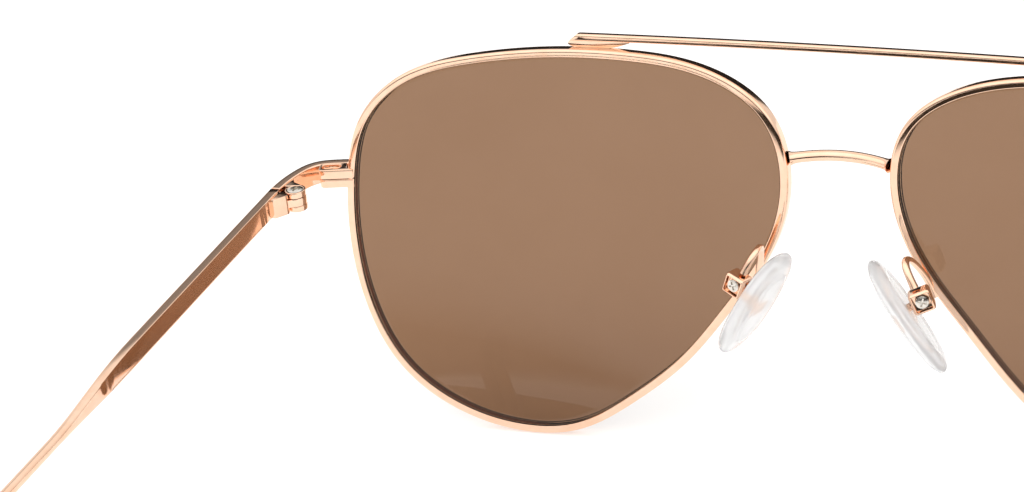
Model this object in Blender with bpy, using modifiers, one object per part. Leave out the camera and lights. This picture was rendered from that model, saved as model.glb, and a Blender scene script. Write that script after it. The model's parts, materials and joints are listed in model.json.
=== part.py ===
"""Aviator sunglasses with a straight brow bar, as an assembly of separate metal, lens and pad pieces.

Everything is laid out in the plane of the front: X to the wearer's left, Y back towards the wearer,
Z up, with the origin midway between the two lens centres. One empty then leans that plane so that the
glasses stand on both rims and both temple tips, with the middle of their footprint at the origin.
The left-hand pieces are modelled and the right-hand ones are their mirror images.
"""
import math

import bmesh
import bpy
from mathutils import Matrix, Vector

MM = 0.001

# Lenses and rims (metres, degrees)
LENS_GAP = 14 * MM
LENS_WIDTH = 59 * MM
LENS_RADIUS = 128 * MM
LENS_THICKNESS = 1.8 * MM
LENS_RIDGE = 0.45 * MM
LENS_CLEARANCE = 0.08 * MM
WRAP = math.radians(0.7)
RIM_DEPTH = 2.0 * MM
RIM_WALL = 1.05 * MM
RIM_SLIT = 0.2 * MM
OUTLINE_STEPS = 3
# Opening of the left rim in millimetres from the lens centre: towards the temple, and up.
# The first point is where the rim is split for the lens.
RIM_OPENING = [
    (28.8, 7.7), (26.8, 15.0), (21.0, 21.0), (12.0, 23.9), (1.0, 25.3), (-10.0, 25.5), (-20.0, 24.1),
    (-27.0, 19.5), (-29.0, 12.5), (-26.3, 2.0), (-20.4, -6.7), (-14.2, -14.3), (-6.9, -20.4),
    (0.1, -24.4), (8.0, -25.1), (16.5, -22.7), (23.6, -17.2), (27.7, -9.0), (29.1, -1.0),
]
# Half of a rim's cross-section: outwards from the opening, and from mid-depth to the front.
RIM_SECTION = [(0.0, 0.5), (0.0, 1.0), (0.8, 1.0), (1.05, 0.7)]
RIM_GROOVE = (0.55, 0.12)

# Brow bar and bridge
BAR_HALF_LENGTH = 35.2 * MM
BAR_HEIGHT = 27.85 * MM
BAR_BOW = 1.1 * MM
BAR_SECTION = (1.2 * MM, 0.88 * MM)
BAR_FOOT = [(26.6, 27.5), (29.2, 26.66), (35.3, 26.62), (36.0, 27.1), (35.2, 27.8), (34.0, 28.0), (27.0, 28.0)]
BRIDGE_HALF_SPAN = 6.2 * MM
BRIDGE_RADIUS = 0.68 * MM
BRIDGE_FLARE = 1.2
BRIDGE_END = Vector((0, 2.8, 14.2)) * MM
BRIDGE_CROWN = Vector((0, 1.7, 14.93)) * MM

# Hinge, endpiece and temple, in the hinge's own frame: Y runs back along the temple
HINGE = Vector((70.7, 10.05, 6.72)) * MM
PANTO = math.radians(8.2)
STRIP_THICKNESS = 1.3 * MM
STRIP_HEIGHT = 2.7 * MM
STRIP_OFFSET = 2.6 * MM
STRIP_EDGE = 0.15 * MM
SEAM = 0.65 * MM
SOLDER_GAP = 0.08 * MM
ENDPIECE_PATH = [(-3.9, -8.6), (-1.5, -8.0), (-0.15, -7.4), (0.85, -6.4), (1.75, -4.4), (2.35, -1.9), (2.6, 0.5)]
BARREL_RADIUS = 1.35 * MM
BARREL_LOW = -1.5 * MM
BARREL_TOP = 1.2 * MM
KNUCKLE_LOW = -0.7 * MM
KNUCKLE_TOP = 0.35 * MM
KNUCKLE_GAP = 0.06 * MM
HINGE_SCREW = {"head_radius": 1.0 * MM, "head_height": 0.35 * MM, "radius": 0.55 * MM, "length": 2.4 * MM}
LOCK_AT = Vector((-2.2, -6.58, 0)) * MM
LOCK_YAW = math.radians(14)
LOCK_LOW = Vector((-2.0, -1.1, -1.2)) * MM
LOCK_HIGH = Vector((1.6, 1.1, 1.1)) * MM
LOCK_SCREW_X = 0.1 * MM
LOCK_SCREW = {"head_radius": 0.8 * MM, "head_height": 0.4 * MM, "radius": 0.5 * MM, "length": 1.9 * MM}
SCREW_CLEARANCE = 0.06 * MM

TEMPLE_LENGTH = 143 * MM
FLAT_END = 41 * MM
TAPER_END = 62 * MM
ROD_HEIGHT = 1.25 * MM
ROD_DROP = 0.55 * MM
EAR_BEND_AT = 97 * MM
EAR_BEND_RADIUS = 25 * MM
EAR_BEND = math.radians(38)
TIP_START = 83 * MM
TIP_WALL_END = 2.5 * MM
TIP_SECTIONS = [(83.0, 2.3, 2.4), (84.5, 2.5, 2.8), (97.0, 2.5, 3.6), (104.0, 2.5, 4.0), (111.0, 2.5, 4.5),
                (120.0, 2.6, 5.2), (132.0, 2.7, 5.8), (139.0, 2.6, 5.4), (142.0, 2.2, 3.8), (143.0, 1.2, 1.8)]

# Nose pads, in the frame of each pad screw: Y along the screw, Z up the pad, -X towards the nose
PAD_SCREW_AT = Vector((11.7, 8.6, -0.45)) * MM
PAD_SLOPE = math.radians(-32)
PAD_SPLAY = math.radians(-17)
PAD_CENTRE = Vector((-2.9, -1.2, -1.3)) * MM
PAD_HALF_LENGTH = 8.0 * MM
PAD_FRONT = 3.9 * MM
PAD_BACK = 3.8 * MM
PAD_THICKNESS = 2.4 * MM
PAD_ROUNDING = 0.8 * MM
BOX_SIZE = Vector((2.8, 2.4, 2.8)) * MM
BOX_SLOT = Vector((2.35, 1.0, 2.2)) * MM
BOX_POCKET = Vector((1.9, 0.4, 1.9)) * MM
LUG_THICKNESS = 0.8 * MM
LUG_HEIGHT = 1.7 * MM
INSERT_SIZE = Vector((0.5, 2.4, 3.0)) * MM
PAD_SCREW = {"head_radius": 0.85 * MM, "head_height": 0.3 * MM, "radius": 0.45 * MM, "length": 1.9 * MM}
ARM_RADIUS = 0.5 * MM
ARM_ROUTE = [(11.3, 1.4, -2.4), (11.0, 1.9, -1.2), (10.4, 3.2, 0.9), (9.8, 4.8, 2.7), (9.4, 6.2, 3.7),
             (9.35, 7.2, 3.8), (9.7, 8.1, 3.2), (10.3, 8.55, 2.1), (10.75, 8.7, 1.3)]

ROUND_STEPS = 16


def colour_material(name, colour, roughness, metallic, alpha=1.0):
    """Make one plain material."""
    material = bpy.data.materials.new(name)
    material.use_nodes = True
    shader = material.node_tree.nodes["Principled BSDF"]
    shader.inputs["Base Color"].default_value = (*colour, 1.0)
    shader.inputs["Roughness"].default_value = roughness
    shader.inputs["Metallic"].default_value = metallic
    shader.inputs["Alpha"].default_value = alpha
    return material


def add_object(name, data, parent, location=(0, 0, 0), rotation=(0, 0, 0), cutter=False):
    """Place an object under its parent, among the parts or among the cutters."""
    obj = bpy.data.objects.new(name, data)
    obj.parent = parent
    obj.location = location
    obj.rotation_euler = rotation
    if cutter:
        obj.hide_render = True
        obj.display_type = "WIRE"
    bpy.data.collections["cutters" if cutter else "aviator_sunglasses"].objects.link(obj)
    return obj


def add_frame(name, parent, location=(0, 0, 0), rotation=(0, 0, 0)):
    """Add an empty that carries pieces."""
    return add_object(name, None, parent, location, rotation)


def mesh_of(name, bm):
    """Write a bmesh into a new mesh."""
    mesh = bpy.data.meshes.new(name)
    bm.to_mesh(mesh)
    bm.free()
    return mesh


def make_solid(obj):
    """Turn a curve, or a piece with modifiers, into one plain welded mesh in the same place."""
    bpy.context.view_layer.update()
    graph = bpy.context.evaluated_depsgraph_get()
    mesh = bpy.data.meshes.new_from_object(obj.evaluated_get(graph), depsgraph=graph)
    bm = bmesh.new()
    bm.from_mesh(mesh)
    bmesh.ops.remove_doubles(bm, verts=bm.verts, dist=0.002 * MM)
    bmesh.ops.recalc_face_normals(bm, faces=bm.faces)
    bm.to_mesh(mesh)
    bm.free()
    name = obj.name
    obj.name = name + "_source"
    solid = add_object(name, mesh, obj.parent, obj.location, obj.rotation_euler, cutter=obj.hide_render)
    bpy.data.objects.remove(obj)
    return solid


def combine(obj, other, operation):
    """Cut another solid from a solid, or join it on, and remove the other one."""
    modifier = obj.modifiers.new(operation.lower(), "BOOLEAN")
    modifier.object = other
    modifier.operation = operation
    modifier.solver = "EXACT"
    solid = make_solid(obj)
    bpy.data.objects.remove(other)
    return solid


def box(name, low, high, parent, cutter=False, edge=0.0):
    """Add a box between two corners, with rounded edges if asked."""
    low, high = Vector(low), Vector(high)
    bm = bmesh.new()
    bmesh.ops.create_cube(bm, size=1.0)
    bmesh.ops.scale(bm, vec=high - low, verts=bm.verts)
    obj = add_object(name, mesh_of(name, bm), parent, (low + high) / 2, cutter=cutter)
    if edge:
        bevel = obj.modifiers.new("edges", "BEVEL")
        bevel.width = edge
        bevel.segments = 2
        obj = make_solid(obj)
    return obj


def rod(name, radius, start, end, parent, cutter=False):
    """Add a cylinder between two points."""
    start, end = Vector(start), Vector(end)
    bm = bmesh.new()
    bmesh.ops.create_cone(bm, cap_ends=True, segments=ROUND_STEPS, radius1=radius, radius2=radius,
                          depth=(end - start).length)
    turn = (end - start).to_track_quat("Z", "Y").to_euler()
    return add_object(name, mesh_of(name, bm), parent, (start + end) / 2, turn, cutter)


def screw(name, head_radius, head_height, radius, length, parent, location, rotation=(0, 0, 0)):
    """Turn a screw whose head is at the top of its local Z, flush with its origin."""
    profile = [(0, 0), (head_radius - 0.1 * MM, 0), (head_radius, -0.1 * MM), (head_radius, -head_height),
               (radius, -head_height), (radius, -length + 0.1 * MM), (radius - 0.1 * MM, -length), (0, -length)]
    mesh = bpy.data.meshes.new(name)
    mesh.from_pydata([(r, 0, z) for r, z in profile], [(i, i + 1) for i in range(len(profile) - 1)], [])
    obj = add_object(name, mesh, parent, location, rotation)
    turned = obj.modifiers.new("turned", "SCREW")
    turned.steps = turned.render_steps = ROUND_STEPS
    turned.use_merge_vertices = True
    turned.merge_threshold = 0.005 * MM
    return make_solid(obj)


def plate(name, outline, thickness, parent, location=(0, 0, 0), rotation=(0, 0, 0), edge=0.0, cutter=False):
    """Extrude a flat outline to a plate, centred on its own plane."""
    curve = bpy.data.curves.new(name, "CURVE")
    curve.dimensions = "2D"
    curve.fill_mode = "BOTH"
    curve.extrude = thickness / 2 - edge
    curve.bevel_depth = edge
    curve.bevel_resolution = 1
    curve.offset = -edge
    spline = curve.splines.new("POLY")
    spline.points.add(len(outline) - 1)
    for point, (x, y) in zip(spline.points, outline):
        point.co = (x, y, 0, 1)
    spline.use_cyclic_u = True
    return make_solid(add_object(name, curve, parent, location, rotation, cutter))


def sweep(name, points, section, parent, location=(0, 0, 0), rotation=(0, 0, 0), radii=None, cutter=False):
    """Sweep a wire of one radius, or a closed section, along points that lie near their local XY plane."""
    curve = bpy.data.curves.new(name, "CURVE")
    curve.dimensions = "3D"
    curve.twist_mode = "Z_UP"
    curve.use_fill_caps = True
    spline = curve.splines.new("POLY")
    spline.points.add(len(points) - 1)
    for index, (point, place) in enumerate(zip(spline.points, points)):
        point.co = (*place, 1)
        point.radius = radii[index] if radii else 1.0
    guide = None
    if isinstance(section, float):
        curve.bevel_depth = section
        curve.bevel_resolution = 2
    else:
        guide = section_guide(name + "_section", section)
        curve.bevel_mode = "OBJECT"
        curve.bevel_object = guide
    solid = make_solid(add_object(name, curve, parent, location, rotation, cutter))
    if guide:
        bpy.data.objects.remove(guide)
    return solid


def section_guide(name, section):
    """Draw a closed section for a sweep."""
    curve = bpy.data.curves.new(name, "CURVE")
    curve.dimensions = "2D"
    spline = curve.splines.new("POLY")
    spline.points.add(len(section) - 1)
    for point, (x, y) in zip(spline.points, section):
        point.co = (x, y, 0, 1)
    spline.use_cyclic_u = True
    return add_object(name, curve, None, cutter=True)


def loft(name, rings, parent, location=(0, 0, 0), rotation=(0, 0, 0), cutter=False):
    """Skin a row of rings, each a list of points or one single point at an end."""
    bm = bmesh.new()
    rows = [[bm.verts.new(point) for point in ring] for ring in rings]
    for row, following in zip(rows, rows[1:]):
        count = max(len(row), len(following))
        for index in range(count):
            corners = [row[index % len(row)], row[(index + 1) % len(row)],
                       following[(index + 1) % len(following)], following[index % len(following)]]
            bm.faces.new(list(dict.fromkeys(corners)))
    for row in (rows[0], rows[-1]):
        if len(row) > 1:
            bm.faces.new(row)
    bmesh.ops.recalc_face_normals(bm, faces=bm.faces)
    return add_object(name, mesh_of(name, bm), parent, location, rotation, cutter)


def smooth_path(points, steps, closed=False):
    """Run a Catmull-Rom spline through the points."""
    points = [Vector(point) for point in points]
    count = len(points)
    spans = count if closed else count - 1
    path = []
    for span in range(spans):
        if closed:
            a, b, c, d = (points[(span + shift) % count] for shift in (-1, 0, 1, 2))
        else:
            b, c = points[span], points[span + 1]
            a = points[span - 1] if span else b * 2 - c
            d = points[span + 2] if span + 2 < count else c * 2 - b
        for step in range(steps):
            t = step / steps
            path.append((b * 2 + (c - a) * t + (a * 2 - b * 5 + c * 4 - d) * t ** 2
                         + (b * 3 - a - c * 3 + d) * t ** 3) / 2)
    if not closed:
        path.append(points[-1])
    return path


def lens_sag(u, v):
    """How far the lens falls back from its pole at a point of its outline plane."""
    return LENS_RADIUS - math.sqrt(LENS_RADIUS ** 2 - u * u - v * v)


def rim_opening():
    """The rim's opening as a closed loop of flat points in metres."""
    return [point * MM for point in smooth_path(RIM_OPENING, OUTLINE_STEPS, closed=True)]


def outset(loop, distance):
    """Move a closed loop of flat points outwards."""
    moved = []
    for index, point in enumerate(loop):
        along = (loop[(index + 1) % len(loop)] - loop[index - 1]).normalized()
        moved.append(point + Vector((along.y, -along.x)) * distance)
    return moved


def on_lens(point, depth):
    """Lift a flat point to the curved mid-surface of rim and lens, and forwards by a depth."""
    return Vector((point.x, point.y, RIM_DEPTH / 2 - lens_sag(point.x, point.y) + depth))


def rim_path():
    """The open path of a rim, from just above its slit all the way round to just below it."""
    loop = rim_opening()
    above = (loop[1] - loop[0]).normalized() * RIM_SLIT / 2
    path = [loop[0] + above] + loop[1:] + [loop[0] - above]
    return [on_lens(point, 0.0) for point in path]


def rim_section(grow=0.0):
    """The cross-section of the rim with its groove, or a larger plain one to cut clearance for it."""
    inner, outer, half_depth = -grow, RIM_WALL + grow, RIM_DEPTH / 2 + grow
    if grow:
        return [(inner, half_depth), (outer, half_depth), (outer, -half_depth), (inner, -half_depth)]
    half = [(x * MM, y * MM) for x, y in [RIM_GROOVE] + RIM_SECTION]
    return half + [(x, -y) for x, y in reversed(half)]


def strip_section(thickness, height, edge):
    """A rectangle with chamfered corners: thickness across the path, and height up."""
    x, y = thickness / 2, height / 2
    return [(x, y - edge), (x - edge, y), (edge - x, y), (-x, y - edge),
            (-x, edge - y), (edge - x, -y), (x - edge, -y), (x, edge - y)]


def endpiece_path():
    """The flat strip's path from the front of the rim round to the seam at the hinge."""
    return [Vector((x, y, 0)) * MM for x, y in smooth_path(ENDPIECE_PATH, 4)]


def strip_cutter(parent):
    """The endpiece with a solder gap all round, to cut its seat in a soldered neighbour."""
    section = strip_section(STRIP_THICKNESS + 2 * SOLDER_GAP, STRIP_HEIGHT + 2 * SOLDER_GAP, STRIP_EDGE)
    return sweep("strip_seat", endpiece_path(), section, parent, cutter=True)


def arc(radius, start, end, steps):
    """Points of an arc about the origin, angles in degrees."""
    angles = [math.radians(start + (end - start) * step / steps) for step in range(steps + 1)]
    return [(radius * math.cos(angle), radius * math.sin(angle)) for angle in angles]


def temple_point(distance):
    """Point and backward direction of the temple's centre line, at a distance from the hinge axis."""
    turned = min(max(distance - EAR_BEND_AT, 0.0) / EAR_BEND_RADIUS, EAR_BEND)
    bend_end = EAR_BEND_AT + EAR_BEND_RADIUS * EAR_BEND
    point = Vector((min(distance, EAR_BEND_AT), 0.0))
    point += EAR_BEND_RADIUS * Vector((math.sin(turned), math.cos(turned) - 1))
    along = Vector((math.cos(turned), -math.sin(turned)))
    return point + along * max(distance - bend_end, 0.0), along


def temple_outline(start, end, grow=0.0):
    """Side view of the temple: a flat strip that tapers to a rod, and follows the ear bend."""
    upper, lower = [], []
    bend_end = EAR_BEND_AT + EAR_BEND_RADIUS * EAR_BEND
    stations = [start, FLAT_END, (FLAT_END + TAPER_END) / 2, TAPER_END]
    stations += [EAR_BEND_AT + (bend_end - EAR_BEND_AT) * step / 6 for step in range(7)] + [end]
    for distance in (station for station in stations if start <= station <= end):
        taper = min(max((distance - FLAT_END) / (TAPER_END - FLAT_END), 0.0), 1.0)
        taper = taper * taper * (3 - 2 * taper)
        half = (STRIP_HEIGHT + (ROD_HEIGHT - STRIP_HEIGHT) * taper) / 2 + grow
        point, along = temple_point(distance)
        across = Vector((-along.y, along.x))
        point -= across * ROD_DROP * taper
        upper.append(point + across * half)
        lower.append(point - across * half)
    return upper + lower[::-1]


SIDE_VIEW = (math.radians(90), 0, math.radians(90))
FRONT_VIEW = (math.radians(90), 0, 0)


def make_rim(front):
    """A rim with its lens groove, split at the lock."""
    return sweep("rim_left", rim_path(), rim_section(), lens_frame(front, "rim_frame_left"))


def lens_frame(front, name):
    """The frame of the left lens: X to the temple, Y up, Z out of the front."""
    centre = Vector(((LENS_WIDTH + LENS_GAP) / 2, 0, 0))
    return add_frame(name, front, centre, (math.radians(90), 0, WRAP))


def cut_rim_seat(solid, front):
    """Cut a soldered piece back to a solder gap all round the rim."""
    frame = lens_frame(front, "seat_frame")
    seat = sweep("rim_seat", rim_path(), rim_section(SOLDER_GAP), frame, cutter=True)
    solid = combine(solid, seat, "DIFFERENCE")
    bpy.data.objects.remove(frame)
    return solid


def make_lens(front):
    """A curved lens whose edge has the ridge that sits in the rim's groove."""
    loop = rim_opening()
    face = LENS_THICKNESS / 2
    shoulder = 0.4 * MM
    edge = [(-LENS_CLEARANCE, face), (-LENS_CLEARANCE, shoulder), (LENS_RIDGE, 0.0),
            (-LENS_CLEARANCE, -shoulder), (-LENS_CLEARANCE, -face)]
    fractions = (0.4, 0.75)
    centre = Vector((0.0, 0.0))
    rings = [[on_lens(centre, face)]]
    rings += [[on_lens(point * part, face) for point in loop] for part in fractions]
    for distance, depth in edge:
        moved = outset(loop, distance)
        rings.append([Vector((*flat, on_lens(point, depth).z)) for flat, point in zip(moved, loop)])
    rings += [[on_lens(point * part, -face) for point in loop] for part in reversed(fractions)]
    rings.append([on_lens(centre, -face)])
    return loft("lens_left", rings, lens_frame(front, "lens_frame_left"))


def make_brow_bar(front):
    """The straight brow bar, slightly bowed with the front, with a foot on each rim."""
    steps = 20
    points = []
    for step in range(steps + 1):
        x = BAR_HALF_LENGTH * (2 * step / steps - 1)
        points.append(Vector((x, BAR_BOW * (x / BAR_HALF_LENGTH) ** 2, BAR_HEIGHT)))
    bar = sweep("brow_bar", points, strip_section(*BAR_SECTION, 0.2 * MM), front)
    for side in (1, -1):
        outline = [(side * x * MM, z * MM) for x, z in BAR_FOOT][::side]
        foot = plate("brow_bar_foot", outline, BAR_SECTION[0] * 0.9, front, (0, BAR_BOW * 0.85, 0), FRONT_VIEW,
                     cutter=True)
        bar = combine(bar, foot, "UNION")
    return bar


def make_bridge(front):
    """The round bridge wire: it rises and comes forward to its crown, and flares at its ends."""
    steps = 14
    points, radii = [], []
    for step in range(steps + 1):
        part = 2 * step / steps - 1
        place = BRIDGE_CROWN.lerp(BRIDGE_END, part * part)
        points.append(Vector((part * BRIDGE_HALF_SPAN, place.y, place.z)))
        radii.append(1 + (BRIDGE_FLARE - 1) * part ** 8)
    return sweep("bridge", points, BRIDGE_RADIUS, front, radii=radii)


def make_lock(lock, hinge, front):
    """The block that closes the rim: two halves on either side of the slit, and the screw between them."""
    half_gap = RIM_SLIT / 4
    reach = 2 * MM
    shoulder = LOCK_HIGH.z - LOCK_SCREW["head_height"] - SCREW_CLEARANCE * 2
    pieces = []
    for name, bottom, top in (("upper", half_gap, LOCK_HIGH.z), ("lower", LOCK_LOW.z, -half_gap)):
        half = box("rim_lock_%s_left" % name, (LOCK_LOW.x, LOCK_LOW.y, bottom), (LOCK_HIGH.x, LOCK_HIGH.y, top),
                   lock, edge=0.12 * MM)
        half = combine(half, strip_cutter(hinge), "DIFFERENCE")
        half = cut_rim_seat(half, front)
        hole = rod("screw_hole", LOCK_SCREW["radius"] + SCREW_CLEARANCE, (LOCK_SCREW_X, 0, -reach),
                   (LOCK_SCREW_X, 0, reach), lock, cutter=True)
        half = combine(half, hole, "DIFFERENCE")
        if name == "upper":
            recess = rod("screw_recess", LOCK_SCREW["head_radius"] + SCREW_CLEARANCE,
                         (LOCK_SCREW_X, 0, shoulder), (LOCK_SCREW_X, 0, reach), lock, cutter=True)
            half = combine(half, recess, "DIFFERENCE")
        pieces.append(half)
    at = (LOCK_SCREW_X, 0, LOCK_HIGH.z - SCREW_CLEARANCE)
    pieces.append(screw("rim_lock_screw_left", **LOCK_SCREW, parent=lock, location=at))
    return pieces


def make_endpiece(hinge):
    """The flat strip that runs from the front of the rim round to the hinge."""
    section = strip_section(STRIP_THICKNESS, STRIP_HEIGHT, STRIP_EDGE)
    return sweep("endpiece_left", endpiece_path(), section, hinge)


def leaf(name, outline, hinge):
    """A hinge leaf at full height, drilled for its screw."""
    solid = plate(name, outline, BARREL_TOP - BARREL_LOW, hinge, (0, 0, (BARREL_TOP + BARREL_LOW) / 2))
    hole = rod("leaf_hole", HINGE_SCREW["radius"] + SCREW_CLEARANCE, (0, 0, -2 * MM), (0, 0, 2 * MM), hinge,
               cutter=True)
    return combine(solid, hole, "DIFFERENCE")


def make_hinge(hinge):
    """A three-knuckle hinge: the front leaf has two knuckles, the temple's leaf has the middle one."""
    far = 4 * MM
    reach = BARREL_RADIUS + 0.15 * MM
    wedge = [(1.0 * MM, 1.95 * MM), (1.7 * MM, 3.2 * MM)]
    outline = arc(BARREL_RADIUS, -30, 260, 16)
    outline += [(x, -y) for x, y in wedge] + [(1.9 * MM, -3.2 * MM), (2.0 * MM, -0.7 * MM)]
    front_leaf = leaf("hinge_front_leaf_left", outline, hinge)
    front_leaf = combine(front_leaf, strip_cutter(hinge), "DIFFERENCE")
    window = box("knuckle_window", (-far, -reach, KNUCKLE_LOW - KNUCKLE_GAP), (far, far, KNUCKLE_TOP + KNUCKLE_GAP),
                 hinge, cutter=True)
    front_leaf = combine(front_leaf, window, "DIFFERENCE")
    recess = rod("head_recess", HINGE_SCREW["head_radius"] + SCREW_CLEARANCE,
                 (0, 0, BARREL_TOP - HINGE_SCREW["head_height"]), (0, 0, far), hinge, cutter=True)
    front_leaf = combine(front_leaf, recess, "DIFFERENCE")

    face = STRIP_OFFSET - STRIP_THICKNESS / 2 - SOLDER_GAP
    outline = arc(BARREL_RADIUS, 100, 390, 16) + [(face, 0.8 * MM), (face, 3.2 * MM)] + wedge[::-1]
    temple_leaf = leaf("hinge_temple_leaf_left", outline, hinge)
    for low, high in ((KNUCKLE_TOP, far), (-far, KNUCKLE_LOW)):
        trim = box("knuckle_trim", (-far, -far, low), (far, reach, high), hinge, cutter=True)
        temple_leaf = combine(temple_leaf, trim, "DIFFERENCE")
    pin = screw("hinge_screw_left", **HINGE_SCREW, parent=hinge, location=(0, 0, BARREL_TOP + KNUCKLE_GAP / 2))
    return [front_leaf, temple_leaf, pin]


def make_temple(hinge):
    """The temple, stamped from one strip: flat at the hinge, a rod where the tip covers it."""
    outline = temple_outline(SEAM, TEMPLE_LENGTH - TIP_WALL_END)
    return plate("temple_left", outline, STRIP_THICKNESS, hinge, (STRIP_OFFSET, 0, 0), SIDE_VIEW, edge=STRIP_EDGE)


def make_temple_tip(hinge):
    """The acetate sleeve over the rod, flat sided, growing behind the ear."""
    rings = []
    steps = 16
    for distance, width, height in TIP_SECTIONS:
        point, along = temple_point(distance * MM)
        across = Vector((-along.y, along.x))
        point -= across * ROD_DROP
        ring = []
        for step in range(steps):
            angle = 2 * math.pi * step / steps
            x = math.copysign(abs(math.cos(angle)) ** 0.7, math.cos(angle)) * width * MM / 2
            up = math.copysign(abs(math.sin(angle)) ** 0.8, math.sin(angle)) * height * MM / 2
            place = point + across * up
            ring.append(Vector((STRIP_OFFSET + x, place.x, place.y)))
        rings.append(ring)
    sleeve = loft("temple_tip_left", rings, hinge)
    gap = SOLDER_GAP
    bore = plate("tip_bore", temple_outline(TIP_START - 3 * MM, TEMPLE_LENGTH - TIP_WALL_END + gap, gap),
                 STRIP_THICKNESS + 2 * gap, hinge, (STRIP_OFFSET, 0, 0), SIDE_VIEW, cutter=True)
    return combine(sleeve, bore, "DIFFERENCE")


def pad_outline():
    """Side view of a nose pad: nearly straight in front, round at the back."""
    outline = []
    steps = 28
    for step in range(steps):
        angle = 2 * math.pi * step / steps
        depth = math.cos(angle)
        half = PAD_BACK if depth > 0 else PAD_FRONT
        power = 1.0 if depth > 0 else 0.75
        outline.append((math.copysign(abs(depth) ** power, depth) * half, math.sin(angle) * PAD_HALF_LENGTH))
    return outline


def pad_insert_parts(pad, grow, names, cutter):
    """The neck that leads from a pad to its lug, and the plate inside the pad, with clearance if asked."""
    centre = PAD_CENTRE
    size = INSERT_SIZE / 2 + Vector((grow, grow, grow))
    reach = Vector((0, LUG_THICKNESS / 2 + grow, LUG_HEIGHT / 2 + grow))
    neck = box(names[0], Vector((centre.x, 0, 0)) - reach, reach, pad, cutter=cutter)
    return neck, box(names[1], centre - size, centre + size, pad, cutter=True)


def make_nose_pad(pad):
    """The soft pad, moulded round its metal insert."""
    solid = plate("nose_pad_left", pad_outline(), PAD_THICKNESS, pad, PAD_CENTRE, SIDE_VIEW, edge=PAD_ROUNDING)
    for cavity in pad_insert_parts(pad, SOLDER_GAP, ("neck_cavity", "core_cavity"), cutter=True):
        solid = combine(solid, cavity, "DIFFERENCE")
    return solid


def make_pad_insert(pad):
    """The metal core of a pad, with the lug that its screw passes through."""
    neck, core = pad_insert_parts(pad, 0.0, ("pad_insert_left", "insert_core"), cutter=False)
    insert = combine(neck, core, "UNION")
    eye = rod("insert_eye", LUG_HEIGHT / 2, (0, -LUG_THICKNESS / 2, 0), (0, LUG_THICKNESS / 2, 0), pad, cutter=True)
    insert = combine(insert, eye, "UNION")
    hole = rod("insert_hole", PAD_SCREW["radius"] + SCREW_CLEARANCE, (0, -LUG_THICKNESS, 0), (0, LUG_THICKNESS, 0),
               pad, cutter=True)
    return combine(insert, hole, "DIFFERENCE")


def make_pad_box(pad):
    """The small box that holds a pad's lug: slotted towards the nose, with a pocket for the screw head."""
    half = BOX_SIZE / 2
    back = half.y
    solid = box("pad_box_left", -half, half, pad, edge=0.3 * MM)
    slot = box("lug_slot", (-half.x - MM, -BOX_SLOT.y / 2, -BOX_SLOT.z / 2),
               (BOX_SLOT.x - half.x, BOX_SLOT.y / 2, BOX_SLOT.z / 2), pad, cutter=True)
    solid = combine(solid, slot, "DIFFERENCE")
    pocket = box("head_pocket", (-BOX_POCKET.x / 2, back - BOX_POCKET.y, -BOX_POCKET.z / 2),
                 (BOX_POCKET.x / 2, back + MM, BOX_POCKET.z / 2), pad, cutter=True)
    solid = combine(solid, pocket, "DIFFERENCE")
    hole = rod("box_hole", PAD_SCREW["radius"] + SCREW_CLEARANCE, (0, -3 * MM, 0), (0, 3 * MM, 0), pad, cutter=True)
    return combine(solid, hole, "DIFFERENCE")


def make_pad_screw(pad):
    """The screw that the pad rocks on, with its head towards the wearer."""
    at = (0, BOX_SIZE.y / 2 - SCREW_CLEARANCE, 0)
    return screw("pad_screw_left", **PAD_SCREW, parent=pad, location=at, rotation=(math.radians(-90), 0, 0))


def make_pad_arm(front):
    """The looped wire that carries a pad box, soldered to the nose side of its rim."""
    points = smooth_path([Vector(point) * MM for point in ARM_ROUTE], 4)
    return cut_rim_seat(sweep("pad_arm_left", points, ARM_RADIUS, front), front)


def finish(obj, material):
    """Give a piece its material, and shade its round faces smooth."""
    obj.data.materials.clear()
    obj.data.materials.append(material)
    obj.data.shade_smooth()
    obj.data.set_sharp_from_angle(angle=math.radians(35))


def mirrored_frame(frame, frames):
    """The right-hand twin of a frame, or the frame itself if it is central."""
    if "_left" not in frame.name:
        return frame
    name = frame.name.replace("_left", "_right")
    if name not in frames:
        x, y, z = frame.location
        turn = frame.rotation_euler
        parent = mirrored_frame(frame.parent, frames)
        frames[name] = add_frame(name, parent, (-x, y, z), (turn.x, -turn.y, -turn.z))
    return frames[name]


def mirror_piece(obj, frames):
    """Add the right-hand twin of a left-hand piece."""
    mesh = obj.data.copy()
    local = obj.matrix_basis
    mesh.transform(Matrix.Scale(-1, 4, (1, 0, 0)) @ local)
    mesh.flip_normals()
    return add_object(obj.name.replace("_left", "_right"), mesh, mirrored_frame(obj.parent, frames))


def lowest_point(objects, lean):
    """The lowest height that any of the objects reaches once the front is leaned by an angle."""
    turn = Matrix.Rotation(lean, 4, "X")
    return min((turn @ obj.matrix_world @ vertex.co).z for obj in objects for vertex in obj.data.vertices)


def resting_lean(rim, tip):
    """The angle at which the rim and the temple tip reach equally low."""
    low, high = 0.0, math.radians(15)
    for _ in range(40):
        middle = (low + high) / 2
        if lowest_point([tip], middle) < lowest_point([rim], middle):
            low = middle
        else:
            high = middle
    return (low + high) / 2


def stand_up(front, pieces):
    """Lean the front so the glasses rest on rims and tips, and centre their footprint on the origin."""
    bpy.context.view_layer.update()
    by_name = {obj.name: obj for obj in pieces}
    front.rotation_euler.x = resting_lean(by_name["rim_left"], by_name["temple_tip_left"])
    bpy.context.view_layer.update()
    corners = [obj.matrix_world @ vertex.co for obj in pieces for vertex in obj.data.vertices]
    depths = [corner.y for corner in corners]
    front.location = (0, -(min(depths) + max(depths)) / 2, -min(corner.z for corner in corners))


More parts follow.
